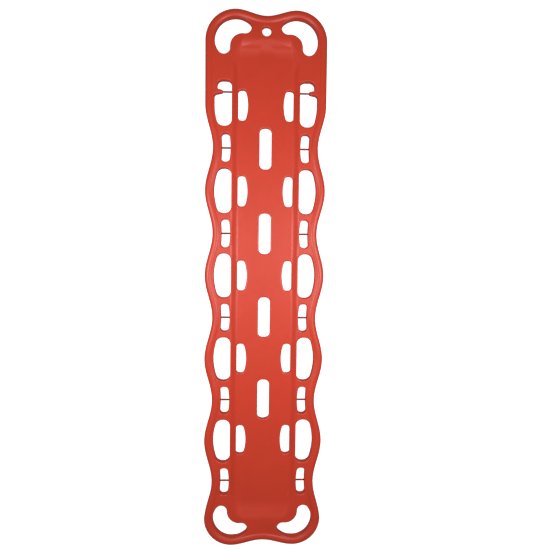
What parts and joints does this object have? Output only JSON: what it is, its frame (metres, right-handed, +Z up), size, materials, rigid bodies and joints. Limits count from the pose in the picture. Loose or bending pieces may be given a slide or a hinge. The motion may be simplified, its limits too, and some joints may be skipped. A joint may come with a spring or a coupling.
{
  "type": "spine board",
  "caption": "Rigid full-length plastic spine board with a shallow patient recess, carrying handholds and pinned strap slots along both edges, and a hanging hole at the head.",
  "frame": {"origin": "on the floor under the middle of the board, which lies flat with its patient side up", "axes": "+X across the board to its right-hand side seen from above with the head end away, +Y along the board to the head end, +Z up"},
  "size_m": [0.406, 1.829, 0.05],
  "materials": {
    "board_shell": "moulded red polyethylene, satin",
    "strap_pin": "dark drawn steel rod",
    "foam_core": "rigid closed-cell foam",
    "stiffener": "pultruded fibre composite",
    "plug": "moulded red polyethylene plug"
  },
  "bodies": {
    "root": {"shell_head": "board_shell", "shell_bay_1": "board_shell", "shell_bay_2": "board_shell", "shell_bay_3": "board_shell", "shell_bay_4": "board_shell", "shell_foot": "board_shell", "strap_pin_1_left": "strap_pin", "strap_pin_1_right": "strap_pin", "strap_pin_2_left": "strap_pin", "strap_pin_2_right": "strap_pin", "strap_pin_3_left": "strap_pin", "strap_pin_3_right": "strap_pin", "strap_pin_4_left": "strap_pin", "strap_pin_4_right": "strap_pin", "strap_pin_5_left": "strap_pin", "strap_pin_5_right": "strap_pin", "head_pin_left": "strap_pin", "head_pin_right": "strap_pin", "foam_core": "foam_core", "stiffener_rod_left": "stiffener", "stiffener_rod_right": "stiffener", "fill_plug": "plug", "vent_plug_head": "plug", "vent_plug_foot": "plug"}
  },
  "joints": []
}
